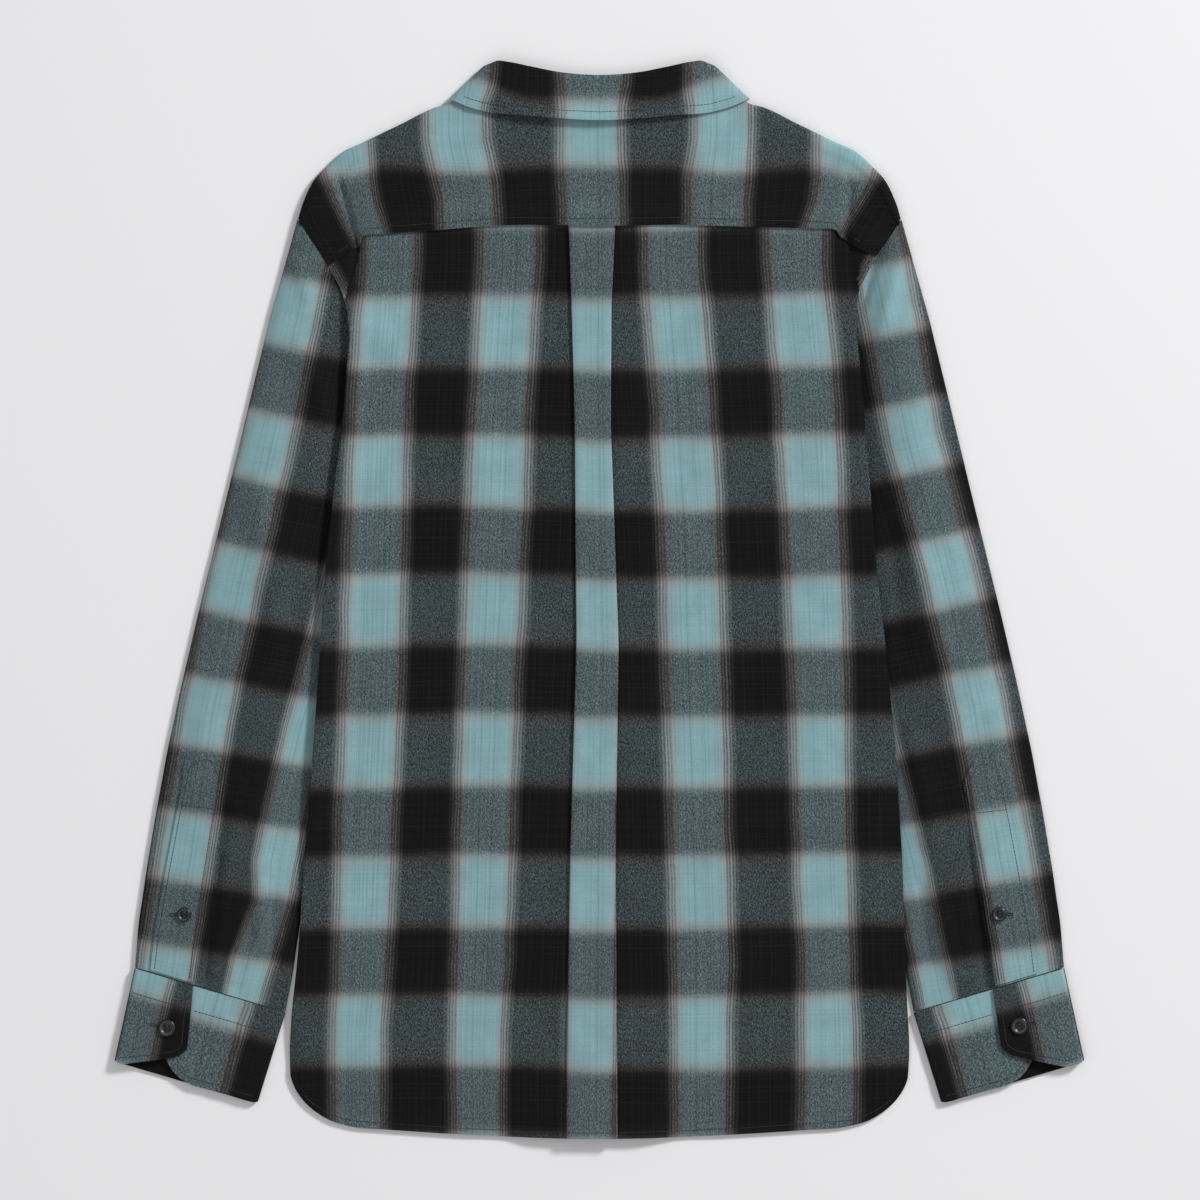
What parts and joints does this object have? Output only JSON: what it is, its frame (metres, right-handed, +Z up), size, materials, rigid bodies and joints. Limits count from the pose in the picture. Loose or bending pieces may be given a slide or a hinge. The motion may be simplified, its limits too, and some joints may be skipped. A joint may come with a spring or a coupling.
{
  "type": "flannel shirt",
  "caption": "Long-sleeved check flannel shirt laid flat, face down, with a yoke, centre box pleat, shirt-tail hem and buttoned cuffs",
  "frame": {"origin": "middle of the shirt's outline on the surface it lies on", "axes": "+Y towards the collar, +X to the right seen from above, +Z up from the surface; the shirt lies face down"},
  "size_m": [0.743, 0.8249, 0.0126],
  "materials": {
    "check_flannel": "brushed cotton twill in a buffalo check of teal and black, matt with a short nap",
    "button_resin": "dark grey cast polyester, polished"
  },
  "bodies": {
    "root": {"back_panel": "check_flannel", "yoke": "check_flannel", "front_left": "check_flannel", "front_right": "check_flannel", "collar_leaf": "check_flannel", "collar_stand": "check_flannel", "sleeve_left": "check_flannel", "sleeve_right": "check_flannel", "sleeve_placket_left": "check_flannel", "sleeve_placket_right": "check_flannel", "cuff_left": "check_flannel", "cuff_right": "check_flannel", "cuff_button_left": "button_resin", "cuff_button_right": "button_resin", "placket_button_left": "button_resin", "placket_button_right": "button_resin", "stand_button": "button_resin", "front_button_1": "button_resin", "front_button_2": "button_resin", "front_button_3": "button_resin", "front_button_4": "button_resin", "front_button_5": "button_resin", "front_button_6": "button_resin"}
  },
  "joints": []
}
